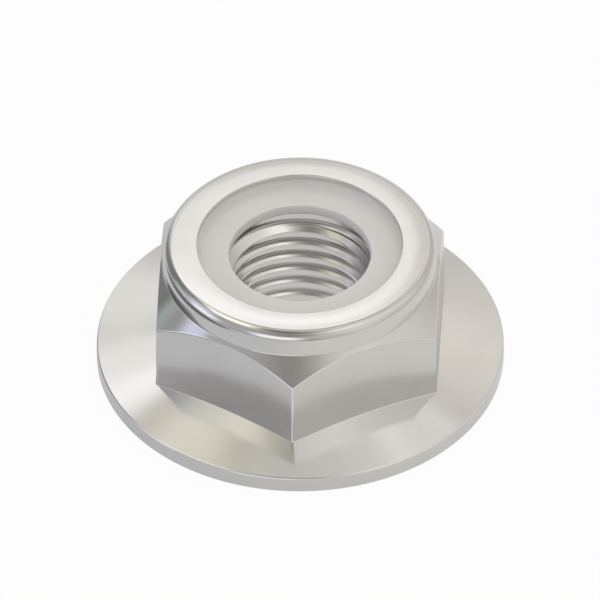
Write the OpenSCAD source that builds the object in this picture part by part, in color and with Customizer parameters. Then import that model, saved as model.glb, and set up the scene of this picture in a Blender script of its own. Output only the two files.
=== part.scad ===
// Hexagon flange lock nut with a plastic locking ring.
// The nut stands on its flange: z = 0 is the bearing face and the Z axis is the thread axis.

/* [Flange] */
// Diameter of the flange
flange_d = 25.4; // [23:0.1:32]
// Height of the upright rim of the flange
rim_h = 1.1; // [0.6:0.05:2]
// Slope of the flange top, in degrees
flange_slope = 15; // [5:1:22]
// Rounding of the two rim edges
rim_round = 0.12; // [0.05:0.01:0.25]

/* [Hexagon] */
// Width across the flats
across_flats = 17.5; // [17.1:0.05:19]
// Rounding of the upright corner edges
corner_round = 0.15; // [0.05:0.01:0.6]
// Height at which the top chamfer leaves the corners
corner_h = 6.3; // [4.5:0.1:7]
// Slope of the top chamfer, in degrees
chamfer_slope = 43; // [25:1:50]

/* [Collar] */
// Overall height of the nut
nut_h = 9.4; // [9:0.1:12]
// Outside diameter of the collar
collar_d = 17.1; // [16.5:0.05:17.3]
// Radius of the rolled outer edge
roll_r = 0.7; // [0.3:0.05:1]
// Diameter of the opening inside the rolled lip
lip_d = 12.8; // [11.5:0.05:13.4]
// Thickness of the rolled lip above the locking ring
lip_t = 0.3; // [0.2:0.05:0.8]
// Rounding of the edge of the lip
lip_round = 0.08; // [0.03:0.01:0.12]

/* [Locking ring] */
// Outside diameter of the groove that holds the locking ring
groove_d = 15.6; // [14.5:0.05:15.9]
// Height of the seat under the locking ring
seat_h = 7.88; // [7.5:0.02:8.3]
// Diameter of the hole in the locking ring
ring_hole_d = 8.86; // [8.4:0.02:10]
// Thickness of the locking ring inside its raised rim
ring_t = 0.8; // [0.4:0.05:0.9]
// Radius of the hollow between the rim of the ring and its flat top
ring_hollow_r = 0.4; // [0.2:0.02:0.5]
// Rounding of the edge of the hole in the locking ring
ring_round = 0.12; // [0.05:0.01:0.2]
// Clearance between the locking ring and its groove
ring_gap = 0.03; // [0.01:0.01:0.1]

/* [Thread] */
// Outside diameter of the thread
thread_d = 9.525; // [9:0.025:9.8]
// Pitch of the thread
thread_pitch = 1.058; // [0.75:0.001:1.5]
// Diameter of the countersink in the bearing face
entry_d = 10.2; // [10:0.1:12]
// Diameter of the relief between the thread and the locking ring
relief_d = 9.6; // [9.55:0.05:10.4]
// Depth of the relief below the seat of the locking ring
relief_depth = 0.84; // [0.4:0.02:1.5]
// Slope of the countersinks at the two ends of the thread, in degrees
countersink_slope = 30; // [20:1:45]

/* [Hidden] */
$fn = 128;
eps = 0.01;
// How far shapes that are joined run into each other
overlap = 0.2;
// How far the circle of a corner round lies outside the flats, so that it ends cleanly on them
proud = 0.001;

flange_r = flange_d / 2;
flat_r = across_flats / 2;
// The hexagon's corners are this far out once they are rounded.
corner_r = flat_r / cos(30) - (corner_round - proud) / cos(30) + corner_round;
collar_r = collar_d / 2;
lip_r = lip_d / 2;
groove_r = groove_d / 2;
ring_r = groove_r - ring_gap;
ring_hole_r = ring_hole_d / 2;

// Basic profile of a 60 degree thread: its crests leave the bore this wide.
bore_r = thread_d / 2 - 5 / 8 * cos(30) * thread_pitch;
entry_r = entry_d / 2;
relief_r = relief_d / 2;
entry_h = (entry_r - bore_r) * tan(countersink_slope);
relief_h = seat_h - relief_depth;
exit_h = relief_h - (relief_r - bore_r) * tan(countersink_slope);

// The collar stands where the chamfer of the hexagon has come in to its radius.
collar_h = corner_h + (corner_r - collar_r) * tan(chamfer_slope);
lip_h = nut_h - lip_t;
ring_rim_h = lip_h - ring_gap;
ring_top_h = seat_h + ring_t;

// The waste that rounds an outside edge at [0, 0]: one face runs down from it,
// the other runs towards -X and rises by the slope.
module edge_waste(r, slope = 0) {
    drop = r * (1 - sin(slope)) / cos(slope);
    reach = r + eps;
    difference() {
        polygon([
            [-r, -drop],
            [eps, -drop],
            [eps, eps],
            [reach * sin(slope) - r, reach * cos(slope) - drop],
        ]);
        translate([-r, -drop]) circle(r);
    }
}

// The flange runs on under the hexagon as a cone.
module flange_section() {
    cone_r = flat_r - overlap;
    cone_h = rim_h + (flange_r - cone_r) * tan(flange_slope);
    difference() {
        polygon([[0, 0], [flange_r, 0], [flange_r, rim_h], [cone_r, cone_h], [0, cone_h]]);
        translate([flange_r, rim_h]) edge_waste(rim_round, flange_slope);
        translate([flange_r, 0]) mirror([0, 1]) edge_waste(rim_round);
    }
}

// One corner of the hexagon, at [0, 0] and pointing along +X, less its round.
module corner_waste() {
    back = (corner_round - proud) / cos(30);
    side = (corner_round + eps) * [cos(30), sin(30)];
    difference() {
        polygon([[-back, 0], [side.x - back, -side.y], [eps * 2, 0], [side.x - back, side.y]]);
        translate([-back, 0]) circle(corner_round);
    }
}

// Two flats face along X and two corners lie on Y.
module hexagon_section() {
    sharp_r = flat_r / cos(30);
    difference() {
        rotate(30) circle(sharp_r, $fn = 6);
        for (corner = [0:5]) rotate(30 + 60 * corner) translate([sharp_r, 0]) corner_waste();
    }
}

// What the hexagon is turned to: upright at the corners, then the top chamfer.
module hexagon_envelope() {
    outer_r = corner_r + overlap;
    outer_h = corner_h - overlap * tan(chamfer_slope);
    inner_r = collar_r - overlap;
    inner_h = collar_h + overlap * tan(chamfer_slope);
    polygon([[0, 0], [outer_r, 0], [outer_r, outer_h], [inner_r, inner_h], [0, inner_h]]);
}

module collar_section() {
    difference() {
        square([collar_r, nut_h]);
        translate([collar_r, nut_h]) edge_waste(roll_r);
    }
}

// What is hollow: countersink, bore, relief, groove and the opening of the lip.
module inside_section() {
    translate([0, -eps]) square([bore_r, nut_h]);
    polygon([[0, -eps], [entry_r, -eps], [entry_r, 0], [bore_r, entry_h], [0, entry_h]]);
    polygon([[0, exit_h], [bore_r, exit_h], [relief_r, relief_h], [relief_r, seat_h], [0, seat_h]]);
    translate([0, seat_h]) square([groove_r, lip_h - seat_h]);
    translate([0, seat_h]) square([lip_r, nut_h - seat_h + eps]);
    translate([lip_r, nut_h]) mirror([1, 0]) edge_waste(lip_round);
}

module nut_body() {
    color([0.79, 0.79, 0.77])
    difference() {
        union() {
            rotate_extrude() flange_section();
            intersection() {
                linear_extrude(nut_h) hexagon_section();
                rotate_extrude() hexagon_envelope();
            }
            rotate_extrude() collar_section();
        }
        rotate_extrude() inside_section();
    }
}

// The ring has a flat top, which rises through a hollow to a rim under the lip.
module ring_section() {
    hollow_r = lip_r - ring_hollow_r;
    difference() {
        translate([ring_hole_r, seat_h]) square([ring_r - ring_hole_r, ring_rim_h - seat_h]);
        translate([0, ring_top_h]) square([hollow_r, nut_h]);
        translate([0, ring_top_h + ring_hollow_r]) square([lip_r, nut_h]);
        translate([hollow_r, ring_top_h + ring_hollow_r]) circle(ring_hollow_r);
        translate([ring_hole_r, ring_top_h]) mirror([1, 0]) edge_waste(ring_round);
        translate([ring_hole_r, seat_h]) mirror([1, 0]) mirror([0, 1]) edge_waste(ring_round);
    }
}

module locking_ring() {
    color([0.87, 0.86, 0.82])
    rotate_extrude() ring_section();
}

nut_body();
locking_ring();
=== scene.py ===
import math

import bmesh
import bpy
import numpy as np
from mathutils import Matrix, Vector


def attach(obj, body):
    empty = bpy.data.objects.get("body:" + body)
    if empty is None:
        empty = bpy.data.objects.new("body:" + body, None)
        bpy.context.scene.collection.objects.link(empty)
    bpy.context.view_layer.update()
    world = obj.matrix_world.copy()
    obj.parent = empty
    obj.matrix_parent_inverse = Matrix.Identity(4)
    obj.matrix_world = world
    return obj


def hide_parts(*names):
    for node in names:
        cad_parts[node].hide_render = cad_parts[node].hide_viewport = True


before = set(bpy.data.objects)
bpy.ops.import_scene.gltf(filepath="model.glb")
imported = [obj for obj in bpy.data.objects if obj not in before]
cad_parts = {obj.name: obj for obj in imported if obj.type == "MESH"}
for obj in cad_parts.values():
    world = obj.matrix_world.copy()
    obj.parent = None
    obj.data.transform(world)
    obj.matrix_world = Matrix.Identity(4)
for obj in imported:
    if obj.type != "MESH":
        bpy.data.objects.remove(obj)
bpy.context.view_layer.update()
mm = 0.001


cameraView = {
    "elevation": 42.075,  # degrees above the bearing face
    "azimuth": -87.08,  # degrees from +X, so the camera stands in front of a corner
    "roll": -0.278,
    "frameWidth": 37.44,  # mm across the picture
    "aim": (0.0, 0.0, 4.7),  # mm
    "shift": (0.02, -0.10),  # picture points, right and down
    "distance": 400.0,  # mm
    "pictureWidth": 600,  # picture points
    "clip": (0.01, 10),  # metres
}


def makeCamera(view):
    el = math.radians(view["elevation"])
    az = math.radians(view["azimuth"])
    roll = math.radians(view["roll"])
    back = Vector((math.cos(el) * math.cos(az), math.cos(el) * math.sin(az), math.sin(el)))
    right = Vector((-math.sin(az), math.cos(az), 0))
    up = back.cross(right)
    right, up = math.cos(roll) * right + math.sin(roll) * up, -math.sin(roll) * right + math.cos(roll) * up
    perPoint = view["frameWidth"] / view["pictureWidth"] * mm
    aim = Vector(view["aim"]) * mm - right * view["shift"][0] * perPoint + up * view["shift"][1] * perPoint
    camera = bpy.data.objects.new("camera", bpy.data.cameras.new("camera"))
    camera.data.type = "ORTHO"
    camera.data.ortho_scale = view["frameWidth"] * mm
    camera.data.clip_start, camera.data.clip_end = view["clip"]
    spot = aim + back * view["distance"] * mm
    camera.matrix_world = Matrix((
        (right.x, up.x, back.x, spot.x),
        (right.y, up.y, back.y, spot.y),
        (right.z, up.z, back.z, spot.z),
        (0, 0, 0, 1),
    ))
    bpy.context.scene.collection.objects.link(camera)
    bpy.context.scene.camera = camera


makeCamera(cameraView)
print("camera placed")


def roundedProfile(corners):
    # corners: (r, z, rounding, steps), r and z numbers or one value per angle.
    # Returns the points (r, z) and the directions (tr, tz) along the profile.
    size = max(np.size(c[0]) for c in corners)
    rz = [np.stack([np.broadcast_to(np.asarray(value, float), size) for value in c[:2]]) for c in corners]
    points, ways = [], []
    for k, corner in enumerate(corners):
        if k == 0 or k == len(corners) - 1:
            other = rz[1] if k == 0 else rz[k - 1]
            way = (other - rz[k]) if k == 0 else (rz[k] - other)
            points.append(rz[k])
            ways.append(way / np.hypot(way[0], way[1]))
            continue
        before = rz[k] - rz[k - 1]
        after = rz[k + 1] - rz[k]
        before = before / np.hypot(before[0], before[1])
        after = after / np.hypot(after[0], after[1])
        turn = np.arctan2(before[0] * after[1] - before[1] * after[0], (before * after).sum(axis=0))
        radius, steps = corner[2], corner[3]
        start = rz[k] - before * radius * np.tan(np.abs(turn) / 2)
        side = np.sign(turn)
        centre = start + np.stack([-before[1], before[0]]) * side * radius
        for step in range(steps + 1):
            bend = turn * step / steps
            way = np.stack([before[0] * np.cos(bend) - before[1] * np.sin(bend),
                            before[0] * np.sin(bend) + before[1] * np.cos(bend)])
            points.append(centre - np.stack([-way[1], way[0]]) * side * radius)
            ways.append(way)
    return np.array(points), np.array(ways)


def turnProfile(profileAt, angles):
    # profileAt(angles) gives points and directions; the result has exact normals.
    points, ways = profileAt(angles)
    step = 1e-5  # radians, for the slope round the axis
    ahead, _ = profileAt(angles + step)
    behind, _ = profileAt(angles - step)

    def place(p, a):
        return np.stack([p[:, 0] * np.cos(a), p[:, 0] * np.sin(a), p[:, 1] * np.ones_like(a)], axis=-1)

    spots = place(points, angles)
    across = place(ahead, angles + step) - place(behind, angles - step)
    along = place(ways, angles)
    normals = np.cross(across, along)
    normals /= np.linalg.norm(normals, axis=-1, keepdims=True)
    return spots, normals  # [row along the profile][column round the axis]


def gridFaces(rows, columns, closed=False):
    faces = []
    for j in range(rows if closed else rows - 1):
        k = (j + 1) % rows
        for i in range(columns):
            n = (i + 1) % columns
            faces.append((j * columns + i, j * columns + n, k * columns + n, k * columns + i))
    return faces


def makeMesh(name, spots, faces):
    mesh = bpy.data.meshes.new(name)
    mesh.from_pydata([tuple(v) for v in np.asarray(spots).reshape(-1, 3) * mm], [], faces)
    mesh.update()
    return mesh


def makeObject(name, mesh):
    thing = bpy.data.objects.new(name, mesh)
    bpy.context.scene.collection.objects.link(thing)
    return thing


# All sizes in mm, all slopes in degrees.
nutSizes = {
    "flangeRadius": 12.7,
    "rimHeight": 1.1,
    "flangeSlope": 15.0,
    "rimRound": 0.12,
    "flatRadius": 8.75,
    "cornerRound": 0.15,
    "cornerHeight": 6.31,
    "chamferSlope": 43.0,
    "chamferRound": 0.16,
    "footRound": 0.07,  # where the hexagon stands on the flange
    "collarFoot": 0.13,  # round where the collar stands on the chamfer
    "collarRadius": 8.55,
    "height": 9.4,
    "rollRound": 0.7,
    "lipRadius": 6.4,
    "lipThickness": 0.3,
    "lipRound": 0.08,
    "grooveRadius": 7.8,
    "seatHeight": 7.88,
    "entryRadius": 5.1,
    "reliefRadius": 4.8,
    "reliefHeight": 7.04,
    "countersinkSlope": 30.0,
    "boreRadius": 4.19,
    "boreRound": 0.04,
    "smallRound": 0.05,
    "crownEdge": 0.10,  # how far the flat top falls off towards the rolled edge
    "crownStart": 7.15,
    "crownRound": 13.7,
    "joinInset": 0.1,  # shell and wall meet this far inside the lower countersink
    "joinHeight": 0.2,  # and this far up the relief
}


def hexagonRadius(angles, sizes):
    # Two flats face along X; the corners are rounded.
    flat, rnd = sizes["flatRadius"], sizes["cornerRound"]
    third = math.pi / 3
    off = np.abs((angles + third / 2) % third - third / 2)  # from the middle of the flat
    fromCorner = third / 2 - off
    centre = (flat - rnd) / math.cos(third / 2)
    onFlat = flat * np.tan(off) <= (flat - rnd) * math.tan(third / 2)
    under = np.maximum(rnd ** 2 - (centre * np.sin(fromCorner)) ** 2, 0)
    return np.where(onFlat, flat / np.cos(off), centre * np.cos(fromCorner) + np.sqrt(under))


def hexagonAngles(sizes, flatSteps=40, cornerSteps=8):
    # Columns: even along each flat, close together round each corner.
    flat, rnd = sizes["flatRadius"], sizes["cornerRound"]
    centre = (flat - rnd) / math.cos(math.pi / 6)
    bends = np.linspace(-math.pi / 6, math.pi / 6, cornerSteps + 1)
    corner = math.pi / 6 + np.arctan2(rnd * np.sin(bends), centre + rnd * np.cos(bends))
    edge = math.pi / 3 - corner[-1]
    flatPart = np.linspace(-edge, edge, flatSteps + 1)[1:-1]
    one = np.concatenate([flatPart, corner])
    return np.concatenate([one + side * math.pi / 3 for side in range(6)])


def conePoint(sizes, radius, top):
    slope = math.tan(math.radians(sizes["countersinkSlope"]))
    if top:
        return sizes["reliefHeight"] - (sizes["reliefRadius"] - radius) * slope
    return (sizes["entryRadius"] - radius) * slope


def shellProfile(angles):
    # From the countersink in the bearing face out, up and over, down to the relief.
    s = nutSizes
    hexR = hexagonRadius(angles, s)
    tanFlange = math.tan(math.radians(s["flangeSlope"]))
    tanChamfer = math.tan(math.radians(s["chamferSlope"]))
    cornerR = (s["flatRadius"] - s["cornerRound"]) / math.cos(math.pi / 6) + s["cornerRound"]
    lipLow = s["height"] - s["lipThickness"]
    small = s["smallRound"]
    low = s["entryRadius"] - s["joinInset"]
    return roundedProfile([
        (low, conePoint(s, low, False), 0, 0),
        (s["entryRadius"], 0, small, 3),
        (s["flangeRadius"], 0, s["rimRound"], 6),
        (s["flangeRadius"], s["rimHeight"], s["rimRound"], 6),
        (hexR, s["rimHeight"] + (s["flangeRadius"] - hexR) * tanFlange, s["footRound"], 4),
        (hexR, s["cornerHeight"] + (cornerR - hexR) * tanChamfer, s["chamferRound"], 5),
        (s["collarRadius"], s["cornerHeight"] + (cornerR - s["collarRadius"]) * tanChamfer, s["collarFoot"], 5),
        (s["collarRadius"], s["height"] - s["crownEdge"], s["rollRound"], 16),
        (s["crownStart"], s["height"], s["crownRound"], 8),
        (s["lipRadius"], s["height"], s["lipRound"], 5),
        (s["lipRadius"], lipLow, small, 3),
        (s["grooveRadius"], lipLow, small, 2),
        (s["grooveRadius"], s["seatHeight"], small, 2),
        (s["reliefRadius"], s["seatHeight"], small, 3),
        (s["reliefRadius"], s["reliefHeight"] + s["joinHeight"], 0, 0),
    ])


def wallProfile(angles):
    # The wall that is tapped: relief, top countersink, bore, lower countersink.
    s = nutSizes
    low = s["entryRadius"] - s["joinInset"]
    return roundedProfile([
        (s["reliefRadius"] + 0 * angles, s["reliefHeight"] + s["joinHeight"], 0, 0),
        (s["reliefRadius"], s["reliefHeight"], s["smallRound"], 3),
        (s["boreRadius"], conePoint(s, s["boreRadius"], True), s["boreRound"], 3),
        (s["boreRadius"], conePoint(s, s["boreRadius"], False), s["boreRound"], 3),
        (low, conePoint(s, low, False), 0, 0),
    ])


# The thread is cut by a tap: a ridge that Geometry Nodes sweep along a helix.
threadSizes = {
    "pitch": 1.058,
    "crestRadius": 4.19,
    "land": 0.25,  # share of the pitch that a crest is wide
    "flankAngle": 30.0,  # degrees from square to the axis
    "depth": 0.36,  # the groove ends in a flat root, as the photo shows
    "rootRound": 0.05,
    "edgeRound": 0.04,
    "turns": 11,
    "startHeight": -1.6,
    "startAngle": 34.0,  # degrees, turns the helix round the axis
    "stepsPerTurn": 144,
    "landOut": 0.015,  # the land is met at a small angle, so that the cut is clean
    "tubeRadius": 5.7,  # back of the tube that is tapped
}


def tapProfile(sizes):
    # Section of the ridge: x outwards from the crest radius, y along the axis.
    flank = math.radians(sizes["flankAngle"])
    half = sizes["pitch"] * (1 - sizes["land"]) / 2
    bend = math.pi / 2 - flank  # from the land to the flank
    rnd, root = sizes["edgeRound"], sizes["rootRound"]
    side = []
    for k in (1, 2, 3):
        turn = bend * k / 3
        side.append((rnd * (1 - math.cos(turn)), half + rnd * math.tan(bend / 2) - rnd * math.sin(turn)))
    out = sizes["landOut"]
    side.insert(0, (-out, side[0][1] + (side[0][0] + out) / math.tan(bend / 6)))
    low = half - sizes["depth"] * math.tan(flank)
    for k in range(4):
        turn = bend * (1 - k / 3)
        side.append((sizes["depth"] - root * (1 - math.cos(turn)),
                     low - root * math.tan(bend / 2) + root * math.sin(turn)))
    return side + [(x, -y) for x, y in reversed(side)]


def tapTree():
    tree = bpy.data.node_groups.new("threadTap", "GeometryNodeTree")
    face = tree.interface
    for label, kind in (("Geometry", "Geometry"), ("Section", "Object"), ("Pitch", "Float"), ("Turns", "Float"),
                        ("Crest Radius", "Float"), ("Start Height", "Float"), ("Start Angle", "Float"),
                        ("Steps Per Turn", "Int"), ("Material", "Material")):
        face.new_socket(label, in_out="INPUT", socket_type="NodeSocket" + kind)
    face.new_socket("Geometry", in_out="OUTPUT", socket_type="NodeSocketGeometry")
    nodes, links = tree.nodes, tree.links
    given = nodes.new("NodeGroupInput")
    result = nodes.new("NodeGroupOutput")

    height = nodes.new("ShaderNodeMath")
    height.operation = "MULTIPLY"
    links.new(given.outputs["Pitch"], height.inputs[0])
    links.new(given.outputs["Turns"], height.inputs[1])
    helix = nodes.new("GeometryNodeCurveSpiral")
    links.new(given.outputs["Steps Per Turn"], helix.inputs["Resolution"])
    links.new(given.outputs["Turns"], helix.inputs["Rotations"])
    links.new(given.outputs["Crest Radius"], helix.inputs["Start Radius"])
    links.new(given.outputs["Crest Radius"], helix.inputs["End Radius"])
    links.new(height.outputs[0], helix.inputs["Height"])
    helix.inputs["Reverse"].default_value = True  # right-hand

    upright = nodes.new("GeometryNodeSetCurveNormal")
    if hasattr(upright, "mode"):
        upright.mode = "Z_UP"
    else:
        upright.inputs["Mode"].default_value = "Z Up"
    links.new(helix.outputs["Curve"], upright.inputs["Curve"])

    section = nodes.new("GeometryNodeObjectInfo")
    links.new(given.outputs["Section"], section.inputs["Object"])
    line = nodes.new("GeometryNodeMeshToCurve")
    links.new(section.outputs["Geometry"], line.inputs["Mesh"])

    sweep = nodes.new("GeometryNodeCurveToMesh")
    sweep.inputs["Fill Caps"].default_value = True
    links.new(upright.outputs["Curve"], sweep.inputs["Curve"])
    links.new(line.outputs["Curve"], sweep.inputs["Profile Curve"])

    shift = nodes.new("ShaderNodeCombineXYZ")
    links.new(given.outputs["Start Height"], shift.inputs["Z"])
    spin = nodes.new("ShaderNodeCombineXYZ")
    links.new(given.outputs["Start Angle"], spin.inputs["Z"])
    place = nodes.new("GeometryNodeTransform")
    links.new(sweep.outputs["Mesh"], place.inputs["Geometry"])
    links.new(shift.outputs[0], place.inputs["Translation"])
    links.new(spin.outputs[0], place.inputs["Rotation"])

    real = nodes.new("GeometryNodeRealizeInstances")
    links.new(place.outputs["Geometry"], real.inputs["Geometry"])
    finish = nodes.new("GeometryNodeSetMaterial")
    links.new(real.outputs["Geometry"], finish.inputs["Geometry"])
    links.new(given.outputs["Material"], finish.inputs["Material"])
    links.new(finish.outputs["Geometry"], result.inputs["Geometry"])
    return tree


def runTree(holder, tree, values):
    # Returns a plain mesh; the modifier and its holder are gone afterwards.
    step = holder.modifiers.new("build", "NODES")
    step.node_group = tree
    ids = {item.name: item.identifier for item in tree.interface.items_tree
           if item.item_type == "SOCKET" and item.in_out == "INPUT"}
    for label, value in values.items():
        step[ids[label]] = value
    holder.update_tag()
    seen = holder.evaluated_get(bpy.context.evaluated_depsgraph_get())
    mesh = bpy.data.meshes.new_from_object(seen)
    holder.modifiers.remove(step)
    bpy.data.objects.remove(holder)
    return mesh


def makeTap(sizes, material):
    points = tapProfile(sizes)
    outline = bpy.data.meshes.new("tapSection")
    count = len(points)
    sides = [(k, (k + 1) % count) for k in range(count)]
    outline.from_pydata([(x * mm, y * mm, 0) for x, y in points], sides, [])
    section = makeObject("tapSection", outline)
    holder = makeObject("tapHolder", bpy.data.meshes.new("tapHolder"))
    mesh = runTree(holder, tapTree(), {
        "Section": section,
        "Pitch": sizes["pitch"] * mm,
        "Turns": float(sizes["turns"]),
        "Crest Radius": sizes["crestRadius"] * mm,
        "Start Height": sizes["startHeight"] * mm,
        "Start Angle": math.radians(sizes["startAngle"]),
        "Steps Per Turn": sizes["stepsPerTurn"],
        "Material": material,
    })
    bpy.data.objects.remove(section)
    tidy = bmesh.new()
    tidy.from_mesh(mesh)
    bmesh.ops.recalc_face_normals(tidy, faces=tidy.faces)
    if tidy.calc_volume(signed=True) < 0:
        bmesh.ops.reverse_faces(tidy, faces=tidy.faces)
    tidy.to_mesh(mesh)
    tidy.free()
    return makeObject("tap", mesh)


def profileNormals(spots, profile):
    # Exact normals of turned surfaces, read back from the profile that made them.
    points, ways = (part[:, :, 0] for part in profile)
    r = np.hypot(spots[:, 0], spots[:, 1])
    best = np.full(len(spots), 1e9)
    out = np.zeros((len(spots), 3))
    for a in range(len(points) - 1):
        seg = points[a + 1] - points[a]
        long2 = (seg ** 2).sum()
        t = np.clip(((r - points[a][0]) * seg[0] + (spots[:, 2] - points[a][1]) * seg[1]) / long2, 0, 1)
        gap = np.hypot(r - points[a][0] - t * seg[0], spots[:, 2] - points[a][1] - t * seg[1])
        way = ways[a][:, None] * (1 - t) + ways[a + 1][:, None] * t
        way /= np.hypot(way[0], way[1])
        here = np.stack([way[1] * spots[:, 0] / r, way[1] * spots[:, 1] / r, -way[0]], axis=-1)
        near = gap < best - 1e-7
        best[near] = gap[near]
        out[near] = here[near]
    return out


def cutThread(angles, sizes):
    # A tube with the nut's bore is tapped by itself; only its wall is kept.
    wall, spare, cut = (bpy.data.materials.new(label) for label in ("wallMark", "spareMark", "cutMark"))
    spots, _ = turnProfile(wallProfile, angles)
    wallRows = len(spots)
    top, low = spots[0], spots[-1]
    ring = sizes["tubeRadius"] * np.stack([np.cos(angles), np.sin(angles)], axis=-1)
    lowBack = np.concatenate([ring, low[:, 2:]], axis=1)
    topBack = np.concatenate([ring, top[:, 2:]], axis=1)
    everything = np.concatenate([spots, lowBack[None], topBack[None]])
    rows, columns = len(everything), len(angles)
    faces = gridFaces(rows, columns, closed=True)
    mesh = makeMesh("tube", everything, faces)
    mesh.materials.append(wall)
    mesh.materials.append(spare)
    for k, poly in enumerate(mesh.polygons):
        poly.material_index = 0 if k // columns < wallRows - 1 else 1
    tube = makeObject("tube", mesh)
    tap = makeTap(sizes, cut)
    bite = tube.modifiers.new("tap", "BOOLEAN")
    bite.operation = "DIFFERENCE"
    bite.solver = "EXACT"
    bite.object = tap
    bite.material_mode = "TRANSFER"
    seen = tube.evaluated_get(bpy.context.evaluated_depsgraph_get())
    done = bpy.data.meshes.new_from_object(seen)
    tube.modifiers.remove(bite)
    bpy.data.objects.remove(tube)
    bpy.data.objects.remove(tap)
    names = [m.name for m in done.materials]
    kinds = [names[p.material_index] for p in done.polygons]
    verts = np.array([tuple(v.co) for v in done.vertices]) / mm
    faces, marks = [], []
    for poly, kind in zip(done.polygons, kinds):
        if kind != "spareMark":
            faces.append(tuple(poly.vertices))
            marks.append(kind == "cutMark")
    bpy.data.meshes.remove(done)
    for mark in (wall, spare, cut):
        bpy.data.materials.remove(mark)
    return verts, faces, marks


def blendNormals(verts, faces, marks, profile, limit=34.0):
    # One normal per face corner: exact on the turned wall, averaged on the tapped faces,
    # and shared across an edge only where it bends less than the limit.
    flatNormals, areas = [], []
    for face in faces:
        p = verts[list(face)]
        total = np.zeros(3)
        for k in range(1, len(face) - 1):
            total += np.cross(p[k] - p[0], p[k + 1] - p[0])
        size = np.linalg.norm(total)
        flatNormals.append(total / size if size > 0 else np.array([0, 0, 1.0]))
        areas.append(size)
    exact = profileNormals(verts, profile)
    around = {}
    edges = {}
    for f, face in enumerate(faces):
        for k, v in enumerate(face):
            around.setdefault(v, []).append(f)
            w = face[(k + 1) % len(face)]
            edges.setdefault((min(v, w), max(v, w)), []).append(f)
    soft = math.cos(math.radians(limit))
    joined = {}
    for (v, w), pair in edges.items():
        if len(pair) == 2 and flatNormals[pair[0]].dot(flatNormals[pair[1]]) > soft:
            joined.setdefault(v, []).append(pair)
            joined.setdefault(w, []).append(pair)
    cornerNormal = {}
    for v, fs in around.items():
        home = {f: f for f in fs}

        def root(f):
            while home[f] != f:
                f = home[f]
            return f

        for a, b in joined.get(v, []):
            home[root(a)] = root(b)
        groups = {}
        for f in fs:
            groups.setdefault(root(f), []).append(f)
        for members in groups.values():
            if not all(marks[f] for f in members):
                normal = exact[v]
            else:
                normal = sum(flatNormals[f] * areas[f] for f in members)
                normal = normal / max(np.linalg.norm(normal), 1e-12)
            for f in members:
                cornerNormal[(f, v)] = normal
    return cornerNormal


def surfaceMarks(spots, normals):
    # Per point of the shell: 1 inside a tight outside round, and 1 where the lathe has been.
    def bends(axis):
        step = np.roll(spots, -1, axis) - spots
        turn = np.roll(normals, -1, axis) - normals
        ahead = (step * turn).sum(axis=-1) / np.maximum((step ** 2).sum(axis=-1), 1e-12)
        return np.minimum(ahead, np.roll(ahead, 1, axis))

    tight = np.maximum(bends(0), bends(1))
    edge = np.clip((tight - 2.0) / 3.0, 0, 1)  # rounds of 0.5 mm down to 0.2 mm
    radius = np.hypot(spots[..., 0], spots[..., 1])
    upright = np.abs(normals[..., 2]) < 0.02
    onHexagon = (radius > nutSizes["collarRadius"] + 0.1) & (radius < nutSizes["flangeRadius"] - 0.5)
    return edge, 1.0 - (upright & onHexagon)


def makeNutBody():
    angles = hexagonAngles(nutSizes)
    shellSpots, shellNormals = turnProfile(shellProfile, angles)
    rows, columns = shellSpots.shape[:2]
    shellFaces = gridFaces(rows, columns)
    print("nut body shell:", rows, "rows,", columns, "columns")
    verts, faces, marks = cutThread(angles, threadSizes)
    print("thread cut:", len(faces), "faces")
    corners = blendNormals(verts, faces, marks, wallProfile(np.zeros(1)))
    first = rows * columns
    allSpots = np.concatenate([shellSpots.reshape(-1, 3), verts])
    allFaces = shellFaces + [tuple(first + v for v in face) for face in faces]
    flatShell = shellNormals.reshape(-1, 3)
    normals = [flatShell[v] for face in shellFaces for v in face]
    normals += [corners[(f, v)] for f, face in enumerate(faces) for v in face]
    # The two circles where shell and wall meet are made one.
    keys, index, remap = {}, [], []
    for k, spot in enumerate(allSpots):
        key = tuple(np.round(spot, 4))
        if key not in keys:
            keys[key] = len(index)
            index.append(k)
        remap.append(keys[key])
    cleanFaces, cleanNormals, at = [], [], 0
    for face in allFaces:
        ids, own = [], []
        for k, v in enumerate(face):
            if remap[v] not in ids:
                ids.append(remap[v])
                own.append(normals[at + k])
        at += len(face)
        if len(ids) >= 3:
            cleanFaces.append(tuple(ids))
            cleanNormals += own
    mesh = makeMesh("nutBody", allSpots[index], cleanFaces)
    mesh.normals_split_custom_set([tuple(n) for n in cleanNormals])
    edge, turned = surfaceMarks(shellSpots, shellNormals)
    for label, shellPart, wallPart in (("edge", edge, 0), ("turned", turned, 1), ("tapped", 0 * edge, 1)):
        values = np.concatenate([shellPart.reshape(-1), np.full(len(verts), wallPart)])[index]
        mesh.attributes.new(label, "FLOAT", "POINT").data.foreach_set("value", values.astype(np.float32))
    return makeObject("nutBody", mesh)


ringSizes = {
    "outerRadius": 7.77,
    "holeRadius": 4.43,
    "bottom": 7.88,
    "flatTop": 8.68,
    "rimTop": 9.07,
    "hollowRadius": 0.32,
    "rimInnerRadius": 6.4,
    "rimRound": 0.05,
    "outerRound": 0.1,
    "edgeRound": 0.12,
    "edgeSteps": 6,
    "startRadius": 5.0,  # the profile starts and ends here, on the underside
}


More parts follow.
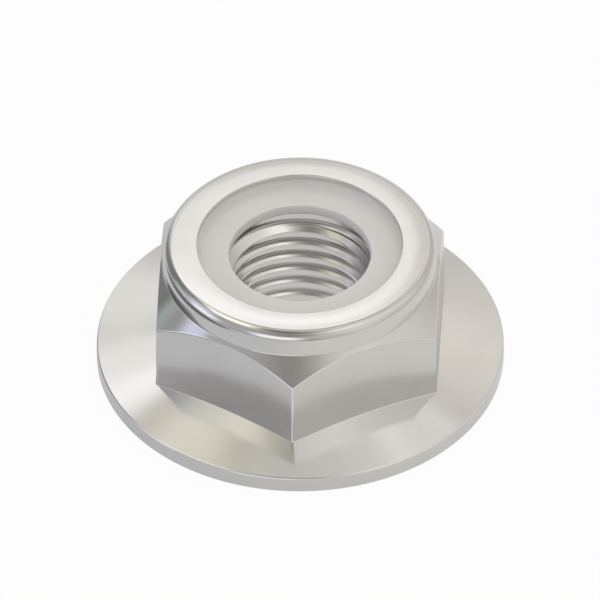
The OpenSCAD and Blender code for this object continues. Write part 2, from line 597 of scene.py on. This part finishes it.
def ringProfile(angles):
    s = ringSizes
    return roundedProfile([
        (s["startRadius"] + 0 * angles, s["bottom"], 0, 0),
        (s["outerRadius"], s["bottom"], s["outerRound"], 3),
        (s["outerRadius"], s["rimTop"], s["outerRound"], 3),
        (s["rimInnerRadius"], s["rimTop"], s["rimRound"], 3),
        (s["rimInnerRadius"], s["flatTop"], s["hollowRadius"], 10),
        (s["holeRadius"], s["flatTop"], s["edgeRound"], s["edgeSteps"]),
        (s["holeRadius"], s["bottom"], s["edgeRound"], s["edgeSteps"]),
        (s["startRadius"], s["bottom"], 0, 0),
    ])


def makeLockingRing():
    angles = np.linspace(0, 2 * math.pi, 192, endpoint=False)
    spots, normals = turnProfile(ringProfile, angles)
    spots, normals = spots[:-1], normals[:-1]
    faces = gridFaces(len(spots), len(angles), closed=True)
    mesh = makeMesh("lockingRing", spots, faces)
    edge = np.zeros(spots.shape[:2])
    edge[-2 * ringSizes["edgeSteps"] - 1:-1] = 1  # the rounds of the hole
    mesh.attributes.new("edge", "FLOAT", "POINT").data.foreach_set("value", edge.reshape(-1).astype(np.float32))
    flat = normals.reshape(-1, 3)
    mesh.normals_split_custom_set([tuple(flat[v]) for face in faces for v in face])
    return makeObject("lockingRing", mesh)


nutBody = makeNutBody()
lockingRing = makeLockingRing()
print("pieces made:", len(nutBody.data.polygons), len(lockingRing.data.polygons))


# Two effects that both finishes use. They put out only values; the shaders stay in the materials.
def fineGrainGroup():
    tree = bpy.data.node_groups.new("fineGrain", "ShaderNodeTree")
    face = tree.interface
    face.new_socket("Vector", in_out="INPUT", socket_type="NodeSocketVector")
    face.new_socket("Fine Scale", in_out="INPUT", socket_type="NodeSocketFloat")
    face.new_socket("Broad Scale", in_out="INPUT", socket_type="NodeSocketFloat")
    face.new_socket("Fine", in_out="OUTPUT", socket_type="NodeSocketFloat")
    face.new_socket("Broad", in_out="OUTPUT", socket_type="NodeSocketFloat")
    nodes, links = tree.nodes, tree.links
    given, result = nodes.new("NodeGroupInput"), nodes.new("NodeGroupOutput")
    for label, detail in (("Fine", 3.0), ("Broad", 2.0)):
        noise = nodes.new("ShaderNodeTexNoise")
        noise.inputs["Detail"].default_value = detail
        links.new(given.outputs["Vector"], noise.inputs["Vector"])
        links.new(given.outputs[label + " Scale"], noise.inputs["Scale"])
        links.new(noise.outputs["Fac"], result.inputs[label])
    return tree


# 1 on tight rounds, varied by a noise: burnished wear on steel, and painted edge highlights on steel and nylon.
def edgeWearAndHighlightGroup():
    tree = bpy.data.node_groups.new("edgeWearAndHighlight", "ShaderNodeTree")
    face = tree.interface
    for label in ("Edge", "Breakup", "Amount"):
        face.new_socket(label, in_out="INPUT", socket_type="NodeSocketFloat")
    face.new_socket("Mask", in_out="OUTPUT", socket_type="NodeSocketFloat")
    nodes, links = tree.nodes, tree.links
    given, result = nodes.new("NodeGroupInput"), nodes.new("NodeGroupOutput")
    broken = nodes.new("ShaderNodeMapRange")
    broken.inputs["From Min"].default_value = 0.3
    broken.inputs["From Max"].default_value = 0.6
    broken.inputs["To Min"].default_value = 0.6
    links.new(given.outputs["Breakup"], broken.inputs["Value"])
    burnishAndHighlight = nodes.new("ShaderNodeMath")
    burnishAndHighlight.operation = "MULTIPLY"
    links.new(given.outputs["Edge"], burnishAndHighlight.inputs[0])
    links.new(broken.outputs["Result"], burnishAndHighlight.inputs[1])
    much = nodes.new("ShaderNodeMath")
    much.operation = "MULTIPLY"
    much.use_clamp = True
    links.new(burnishAndHighlight.outputs[0], much.inputs[0])
    links.new(given.outputs["Amount"], much.inputs[1])
    links.new(much.outputs[0], result.inputs["Mask"])
    return tree


fineGrain = fineGrainGroup()
edgeWearAndHighlight = edgeWearAndHighlightGroup()


def addGroup(nodes, group, values):
    node = nodes.new("ShaderNodeGroup")
    node.node_tree = group
    for label, value in values.items():
        node.inputs[label].default_value = value
    return node


def readAttribute(nodes, label):
    node = nodes.new("ShaderNodeAttribute")
    node.attribute_name = label
    return node.outputs["Fac"]


def spread(nodes, links, value, low, high, fromLow=0.0, fromHigh=1.0):
    # A value between fromLow and fromHigh becomes one between low and high.
    node = nodes.new("ShaderNodeMapRange")
    node.inputs["From Min"].default_value = fromLow
    node.inputs["From Max"].default_value = fromHigh
    node.inputs["To Min"].default_value = low
    node.inputs["To Max"].default_value = high
    links.new(value, node.inputs["Value"])
    return node.outputs["Result"]


def combine(nodes, links, operation, a, b=0):
    node = nodes.new("ShaderNodeMath")
    node.operation = operation
    for k, value in enumerate((a, b)):
        if isinstance(value, (int, float)):
            node.inputs[k].default_value = value
        else:
            links.new(value, node.inputs[k])
    return node.outputs[0]


def blendColours(nodes, links, amount, a, b):
    node = nodes.new("ShaderNodeMix")
    node.data_type = "RGBA"
    links.new(amount, node.inputs["Factor"])
    for label, value in (("A", a), ("B", b)):
        if isinstance(value, tuple):
            node.inputs[label].default_value = (*value, 1)
        else:
            links.new(value, node.inputs[label])
    return node.outputs["Result"]


def blendValues(nodes, links, amount, a, b):
    node = nodes.new("ShaderNodeMix")
    links.new(amount, node.inputs["Factor"])
    links.new(a, node.inputs["A"])
    node.inputs["B"].default_value = b
    return node.outputs["Result"]


def separate(nodes, links, vector):
    node = nodes.new("ShaderNodeSeparateXYZ")
    links.new(vector, node.inputs[0])
    return node.outputs


def distance(nodes, links, x, y):
    squares = [combine(nodes, links, "MULTIPLY", side, side) for side in (x, y)]
    return combine(nodes, links, "SQRT", combine(nodes, links, "ADD", *squares))


def addBump(nodes, links, height, main, look):
    bump = nodes.new("ShaderNodeBump")
    bump.inputs["Distance"].default_value = look["bumpHeight"]
    links.new(height, bump.inputs["Height"])
    links.new(bump.outputs["Normal"], main.inputs["Normal"])


noiseRange = (0.3, 0.7)  # where nearly all of a noise lies
toneRange = (0.35, 0.65)  # narrower, so that clouds of both colours show

steelLook = {
    "dark": (0.685, 0.682, 0.675),
    "light": (0.715, 0.712, 0.705),
    "burnishAndHighlight": (0.79, 0.79, 0.79),  # burnished edges, lighter also to paint thin edge highlights
    "mattPaintedLight": (0.93, 0.93, 0.92),  # painted light: undersides of the thread and the relief above it are lighter than the plating, to make up for the shade in these recesses; they are also matt from the tool
    "dullRoughness": 0.7,
    "underFrom": (-0.5, -0.1),  # how far down a face looks to count as an underside
    "relief": (7.03e-3, 7.06e-3),  # height at which the relief begins
    "roughness": (0.10, 0.14),
    "fineGloss": 0.012,
    "turnedGloss": 0.008,
    "wornRoughness": 0.08,
    "flatRoughness": 0.08,  # what the pressed flats of the hexagon add to it
    "fineScale": 5000.0,  # per metre: grain 0.2 mm wide
    "broadScale": 350.0,
    "turningScale": 9000.0,  # lathe lines per metre
    "turningLean": 0.7,  # lathe lines run where radius less this share of the height is the same
    "turningDepth": 0.25,
    "grainDepth": 0.20,
    "bumpHeight": 0.6e-6,
    "wearAndHighlight": 1.0,
}


def platedSteel(look):
    # Bright plating: faint lathe lines round the axis, fine grain, cloudy gloss, burnished edges that are lighter
    # to paint edge highlights, and painted light on the matt undersides of the thread and in the relief.
    material = bpy.data.materials.new("platedSteel")
    material.use_nodes = True
    nodes, links = material.node_tree.nodes, material.node_tree.links
    main = nodes["Principled BSDF"]
    main.inputs["Metallic"].default_value = 1
    where = nodes.new("ShaderNodeTexCoord").outputs["Object"]
    grain = addGroup(nodes, fineGrain, {"Fine Scale": look["fineScale"], "Broad Scale": look["broadScale"]})
    links.new(where, grain.inputs["Vector"])
    wearAndHighlight = addGroup(nodes, edgeWearAndHighlight, {"Amount": look["wearAndHighlight"]})
    links.new(readAttribute(nodes, "edge"), wearAndHighlight.inputs["Edge"])
    links.new(grain.outputs["Broad"], wearAndHighlight.inputs["Breakup"])
    away = separate(nodes, links, nodes.new("ShaderNodeTexCoord").outputs["Normal"])
    split = separate(nodes, links, where)
    # painted light: where the tapped wall faces down or lies in the relief, a lighter colour stands in for light
    # the recess doesn't get; the roughness there is raised as well
    under = spread(nodes, links, away["Z"], 1, 0, *look["underFrom"])
    relief = spread(nodes, links, split["Z"], 0, 1, *look["relief"])
    mattPaintedLight = combine(nodes, links, "MAXIMUM", under, relief)
    mattPaintedLight = combine(nodes, links, "MULTIPLY", readAttribute(nodes, "tapped"), mattPaintedLight)

    radius = distance(nodes, links, split["X"], split["Y"])
    lean = combine(nodes, links, "MULTIPLY", split["Z"], look["turningLean"])
    lines = nodes.new("ShaderNodeTexNoise")
    lines.noise_dimensions = "1D"
    lines.inputs["Scale"].default_value = look["turningScale"]
    lines.inputs["Detail"].default_value = 2.0
    links.new(combine(nodes, links, "SUBTRACT", radius, lean), lines.inputs["W"])
    lathed = readAttribute(nodes, "turned")
    turned = combine(nodes, links, "MULTIPLY", lines.outputs["Fac"], lathed)

    tone = spread(nodes, links, grain.outputs["Broad"], 0, 1, *toneRange)
    colour = blendColours(nodes, links, tone, look["dark"], look["light"])
    colour = blendColours(nodes, links, mattPaintedLight, colour, look["mattPaintedLight"])
    # painted highlight: rounded edges get the lighter burnish colour
    colour = blendColours(nodes, links, wearAndHighlight.outputs["Mask"], colour, look["burnishAndHighlight"])
    links.new(colour, main.inputs["Base Color"])

    gloss = spread(nodes, links, grain.outputs["Broad"], *look["roughness"], *noiseRange)
    for value, reach in ((grain.outputs["Fine"], look["fineGloss"]), (turned, look["turnedGloss"])):
        gloss = combine(nodes, links, "ADD", gloss, spread(nodes, links, value, -reach, reach, *noiseRange))
    gloss = combine(nodes, links, "ADD", gloss, spread(nodes, links, lathed, look["flatRoughness"], 0))
    gloss = blendValues(nodes, links, wearAndHighlight.outputs["Mask"], gloss, look["wornRoughness"])
    gloss = blendValues(nodes, links, mattPaintedLight, gloss, look["dullRoughness"])
    links.new(gloss, main.inputs["Roughness"])

    texture = combine(nodes, links, "ADD", combine(nodes, links, "MULTIPLY", turned, look["turningDepth"]),
                      combine(nodes, links, "MULTIPLY", grain.outputs["Fine"], look["grainDepth"]))
    addBump(nodes, links, texture, main, look)
    return material


plasticLook = {
    "milk": (0.87, 0.867, 0.852),
    "cream": (0.845, 0.84, 0.82),
    # painted highlight: the rounds of the hole are lighter
    "edgeHighlight": (0.92, 0.92, 0.91),
    "roughness": (0.30, 0.40),
    "fineGloss": 0.04,
    "fineScale": 6000.0,
    "broadScale": 260.0,
    "bumpHeight": 3e-6,
    "translucence": 0.85,
    "lightReach": 0.7e-3,  # metres that light travels inside
    "reachByColour": (1.0, 0.95, 0.85),
    "bending": 1.53,
    "edgeLight": 0.8,
}


def lockingPlastic(look):
    # Milky nylon: cloudy colour, satin skin with a fine moulded grain, light that sinks in, and a painted
    # highlight on the rounds of the hole.
    material = bpy.data.materials.new("lockingPlastic")
    material.use_nodes = True
    nodes, links = material.node_tree.nodes, material.node_tree.links
    main = nodes["Principled BSDF"]
    where = nodes.new("ShaderNodeTexCoord").outputs["Object"]
    grain = addGroup(nodes, fineGrain, {"Fine Scale": look["fineScale"], "Broad Scale": look["broadScale"]})
    links.new(where, grain.inputs["Vector"])
    wearAndHighlight = addGroup(nodes, edgeWearAndHighlight, {"Amount": look["edgeLight"]})
    links.new(readAttribute(nodes, "edge"), wearAndHighlight.inputs["Edge"])
    links.new(grain.outputs["Broad"], wearAndHighlight.inputs["Breakup"])
    cloud = spread(nodes, links, grain.outputs["Broad"], 0, 1, *toneRange)
    colour = blendColours(nodes, links, cloud, look["cream"], look["milk"])
    colour = blendColours(nodes, links, wearAndHighlight.outputs["Mask"], colour, look["edgeHighlight"])
    links.new(colour, main.inputs["Base Color"])
    gloss = spread(nodes, links, grain.outputs["Broad"], *look["roughness"], *noiseRange)
    fine = spread(nodes, links, grain.outputs["Fine"], -look["fineGloss"], look["fineGloss"], *noiseRange)
    links.new(combine(nodes, links, "ADD", gloss, fine), main.inputs["Roughness"])
    main.inputs["IOR"].default_value = look["bending"]
    main.inputs["Subsurface Weight"].default_value = look["translucence"]
    main.inputs["Subsurface Radius"].default_value = look["reachByColour"]
    main.inputs["Subsurface Scale"].default_value = look["lightReach"]
    addBump(nodes, links, grain.outputs["Fine"], main, look)
    return material


nutBody.data.materials.append(platedSteel(steelLook))
lockingRing.data.materials.append(lockingPlastic(plasticLook))

for piece, node, slot in ((nutBody, "nut_body", "plated_steel"), (lockingRing, "locking_ring", "locking_plastic")):
    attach(piece, "root")
    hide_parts(node)


floorLook = {
    "colour": (0.80, 0.80, 0.80),
    "roughness": 0.9,
    "half": 3,  # metres from the middle to each side
    "under": 20e-6,  # a hair under the nut, so that the two faces don't coincide
    "white": 0.96,  # share of plain white in the background that the camera sees
    "inMetal": ((0.67, 0.67, 0.68), (0.81, 0.79, 0.745)),  # painted reflection: what reflections show of it, left and right
    "span": (-10e-3, 10e-3),  # where the left colour passes into the right one
    "darkReflection": (0.16, 0.16, 0.16),  # a painted dark reflection on the left, which only reflections show
    "darkReflectionAt": (-66e-3, -8e-3),
    "darkReflectionReach": (48e-3, 34e-3),
    "darkReflectionEdge": (0.88, 1.05),
    "shade": 0.90,  # how dark the floor is close to the flange, in reflections
    "shadeOuter": (12.4e-3, 15.5e-3),
    "shadeInner": (6e-3, 9e-3),
}


def paintedDarkReflection(nodes, links, look, where):
    # 1 inside the painted dark reflection, 0 outside it, with a soft edge.
    off = [combine(nodes, links, "DIVIDE", combine(nodes, links, "SUBTRACT", where[label], at), reach)
           for label, at, reach in zip("XY", look["darkReflectionAt"], look["darkReflectionReach"])]
    return spread(nodes, links, distance(nodes, links, *off), 1, 0, *look["darkReflectionEdge"])


def paleFloor(look):
    # White background for camera rays, whose small rest keeps the nut's shadow; mirror and glass rays see a
    # painted reflection instead: grey from left to right, painted shade near the flange and a painted dark patch
    # on the left.
    material = bpy.data.materials.new("paleFloor")
    material.use_nodes = True
    nodes, links = material.node_tree.nodes, material.node_tree.links
    main = nodes["Principled BSDF"]
    main.inputs["Base Color"].default_value = (*look["colour"], 1)
    main.inputs["Roughness"].default_value = look["roughness"]
    glow = nodes.new("ShaderNodeEmission")
    ray = nodes.new("ShaderNodeLightPath")
    mirrored = combine(nodes, links, "MAXIMUM", ray.outputs["Is Glossy Ray"], ray.outputs["Is Transmission Ray"])
    # painted reflection: the floor that mirrors see is darker on the left than on the right, painted darker near
    # the flange, and has a painted dark patch on the left
    where = separate(nodes, links, nodes.new("ShaderNodeTexCoord").outputs["Object"])
    across = spread(nodes, links, where["X"], 0, 1, *look["span"])
    pale = blendColours(nodes, links, across, *look["inMetal"])
    radius = distance(nodes, links, where["X"], where["Y"])
    shade = combine(nodes, links, "MAXIMUM", spread(nodes, links, radius, look["shade"], 1, *look["shadeOuter"]),
                    spread(nodes, links, radius, 1, look["shade"], *look["shadeInner"]))
    dimmed = nodes.new("ShaderNodeVectorMath")
    dimmed.operation = "SCALE"
    links.new(pale, dimmed.inputs[0])
    links.new(shade, dimmed.inputs["Scale"])
    pale = blendColours(nodes, links, paintedDarkReflection(nodes, links, look, where), dimmed.outputs[0], look["darkReflection"])
    links.new(blendColours(nodes, links, mirrored, (1.0, 1.0, 1.0), pale), glow.inputs["Color"])
    share = combine(nodes, links, "MULTIPLY", ray.outputs["Is Camera Ray"], look["white"])
    share = combine(nodes, links, "MAXIMUM", share, mirrored)
    mix = nodes.new("ShaderNodeMixShader")
    links.new(share, mix.inputs["Fac"])
    links.new(main.outputs[0], mix.inputs[1])
    links.new(glow.outputs[0], mix.inputs[2])
    links.new(mix.outputs[0], nodes["Material Output"].inputs["Surface"])
    return material


def makeFloor(look):
    mesh = bpy.data.meshes.new("floor")
    half, z = look["half"], -look["under"]
    corners = [(-half, -half, z), (half, -half, z), (half, half, z), (-half, half, z)]
    mesh.from_pydata(corners, [], [(0, 1, 2, 3)])
    floor = makeObject("floor", mesh)
    mesh.materials.append(paleFloor(look))


makeFloor(floorLook)


# Soft cards round the nut: where each stands, how wide and high it is, and its light.
# Angles in degrees; azimuth from +X, so -90 is the camera's side and 90 is behind the nut.
studioCards = {
    "rightWall": {"at": (-6, 20), "half": (68, 41), "soft": 15, "light": (0.39, 0.36, 0.335)},
    "backWall": {"at": (95, 25), "half": (29, 36), "soft": 12, "light": (0.48, 0.45, 0.42)},
    "backBright": {"at": (107, 44), "half": (15, 8), "soft": 3, "light": (0.44, 0.45, 0.46)},
    "backHot": {"at": (108, 49), "half": (13, 4), "soft": 2, "light": (0.28, 0.28, 0.29)},
    "leftTop": {"at": (154, 66), "half": (10, 9), "soft": 3, "light": (1.18, 1.15, 1.03)},
    "leftStep": {"at": (121, 62), "half": (5, 7), "soft": 5, "light": (0.60, 0.56, 0.46)},
    "hotTop": {"at": (-169, 68), "half": (8, 6), "soft": 11, "light": (0.71, 0.68, 0.51)},
    "rightTop": {"at": (-8, 72), "half": (19, 10), "soft": 17, "light": (0.66, 0.64, 0.61)},
    "backRightTop": {"at": (61, 60), "half": (2, 6), "soft": 2, "light": (0.39, 0.40, 0.41)},
    "frontKey": {"at": (-105, 21), "half": (17, 15), "soft": 9, "light": (1.04, 1.04, 1.08)},
    "leftKey": {"at": (-167, 17), "half": (12, 12), "soft": 6, "light": (0.74, 0.74, 0.77)},
    "coolCard": {"at": (180, 38), "half": (10, 9), "soft": 2, "light": (0.28, 0.30, 0.50)},
    "greenCard": {"at": (168, 13), "half": (9, 9), "soft": 4, "light": (0.28, 0.39, 0.38)},
    "leftFill": {"at": (-155, 39), "half": (32, 33), "soft": 17, "light": (0.30, 0.29, 0.30)},
    "rightWarm": {"at": (-14, 51), "half": (34, 23), "soft": 18, "light": (0.29, 0.29, 0.29)},
    "zenith": {"at": (81, 72), "half": (11, 8), "soft": 4, "light": (0.50, 0.48, 0.45)},
    "rightLow": {"at": (-36, 15), "half": (11, 8), "soft": 17, "light": (0.19, 0.20, 0.19)},
    "backLeft": {"at": (113, 26), "half": (6, 8), "soft": 4, "light": (0.31, 0.32, 0.32)},
    "leftHot": {"at": (175, 52), "half": (3, 5), "soft": 5, "light": (0.20, 0.21, 0.26)},
    "rightHot": {"at": (-21, 72), "half": (9, 4), "soft": 9, "light": (0.48, 0.47, 0.47)},
}
studioDim = {
    "low": (0.265, 0.265, 0.26),
    "high": (0.17, 0.17, 0.15),
    "rise": (0.1, 0.95),  # between which heights the low light passes into the high one
    "seen": (0.982, 0.982, 0.982),  # what the camera sees past the floor
}


def cardGroup():
    tree = bpy.data.node_groups.new("softCard", "ShaderNodeTree")
    face = tree.interface
    for label in ("Way", "Middle", "Side", "Up"):
        face.new_socket(label, in_out="INPUT", socket_type="NodeSocketVector")
    for label in ("Half Width", "Half Height", "Soft Edge"):
        face.new_socket(label, in_out="INPUT", socket_type="NodeSocketFloat")
    face.new_socket("Mask", in_out="OUTPUT", socket_type="NodeSocketFloat")
    nodes, links = tree.nodes, tree.links
    given, result = nodes.new("NodeGroupInput"), nodes.new("NodeGroupOutput")

    def along(label):
        node = nodes.new("ShaderNodeVectorMath")
        node.operation = "DOT_PRODUCT"
        links.new(given.outputs["Way"], node.inputs[0])
        links.new(given.outputs[label], node.inputs[1])
        return node.outputs["Value"]

    soft = given.outputs["Soft Edge"]

    def within(angle, half):
        off = combine(nodes, links, "ABSOLUTE", angle)
        ramp = nodes.new("ShaderNodeMapRange")
        ramp.interpolation_type = "SMOOTHSTEP"
        links.new(combine(nodes, links, "SUBTRACT", off, given.outputs[half]), ramp.inputs["Value"])
        links.new(combine(nodes, links, "MULTIPLY", soft, -1.0), ramp.inputs["From Min"])
        links.new(soft, ramp.inputs["From Max"])
        ramp.inputs["To Min"].default_value = 1
        ramp.inputs["To Max"].default_value = 0
        return ramp.outputs["Result"]

    across = combine(nodes, links, "ARCTAN2", along("Side"), along("Middle"))
    height = combine(nodes, links, "ARCSINE", along("Up"))
    mask = combine(nodes, links, "MULTIPLY", within(across, "Half Width"), within(height, "Half Height"))
    links.new(mask, result.inputs["Mask"])
    return tree


def makeWorld(cards, dim):
    world = bpy.data.worlds.new("studio")
    bpy.context.scene.world = world
    world.use_nodes = True
    nodes, links = world.node_tree.nodes, world.node_tree.links
    light = nodes["Background"]
    way = nodes.new("ShaderNodeTexCoord").outputs["Generated"]
    rise = nodes.new("ShaderNodeMapRange")
    rise.interpolation_type = "SMOOTHSTEP"
    rise.inputs["From Min"].default_value, rise.inputs["From Max"].default_value = dim["rise"]
    links.new(separate(nodes, links, way)["Z"], rise.inputs["Value"])
    total = blendColours(nodes, links, rise.outputs["Result"], dim["low"], dim["high"])
    group = cardGroup()
    for name, card in cards.items():
        az, el = math.radians(card["at"][0]), math.radians(card["at"][1])
        middle = (math.cos(el) * math.cos(az), math.cos(el) * math.sin(az), math.sin(el))
        side = (-math.sin(az), math.cos(az), 0)
        up = (-math.sin(el) * math.cos(az), -math.sin(el) * math.sin(az), math.cos(el))
        node = addGroup(nodes, group, {
            "Middle": middle, "Side": side, "Up": up,
            "Half Width": math.radians(card["half"][0]),
            "Half Height": math.radians(card["half"][1]),
            "Soft Edge": math.radians(card["soft"]),
        })
        node.label = name
        links.new(way, node.inputs["Way"])
        tint = nodes.new("ShaderNodeVectorMath")
        tint.operation = "SCALE"
        tint.inputs[0].default_value = card["light"]
        links.new(node.outputs["Mask"], tint.inputs["Scale"])
        more = nodes.new("ShaderNodeVectorMath")
        more.operation = "ADD"
        links.new(total, more.inputs[0])
        links.new(tint.outputs[0], more.inputs[1])
        total = more.outputs[0]
    seen = nodes.new("ShaderNodeLightPath").outputs["Is Camera Ray"]
    links.new(blendColours(nodes, links, seen, total, dim["seen"]), light.inputs["Color"])
    light.inputs["Strength"].default_value = 1.0


makeWorld(studioCards, studioDim)
bpy.context.scene.view_settings.view_transform = "Standard"
print("studio lit")
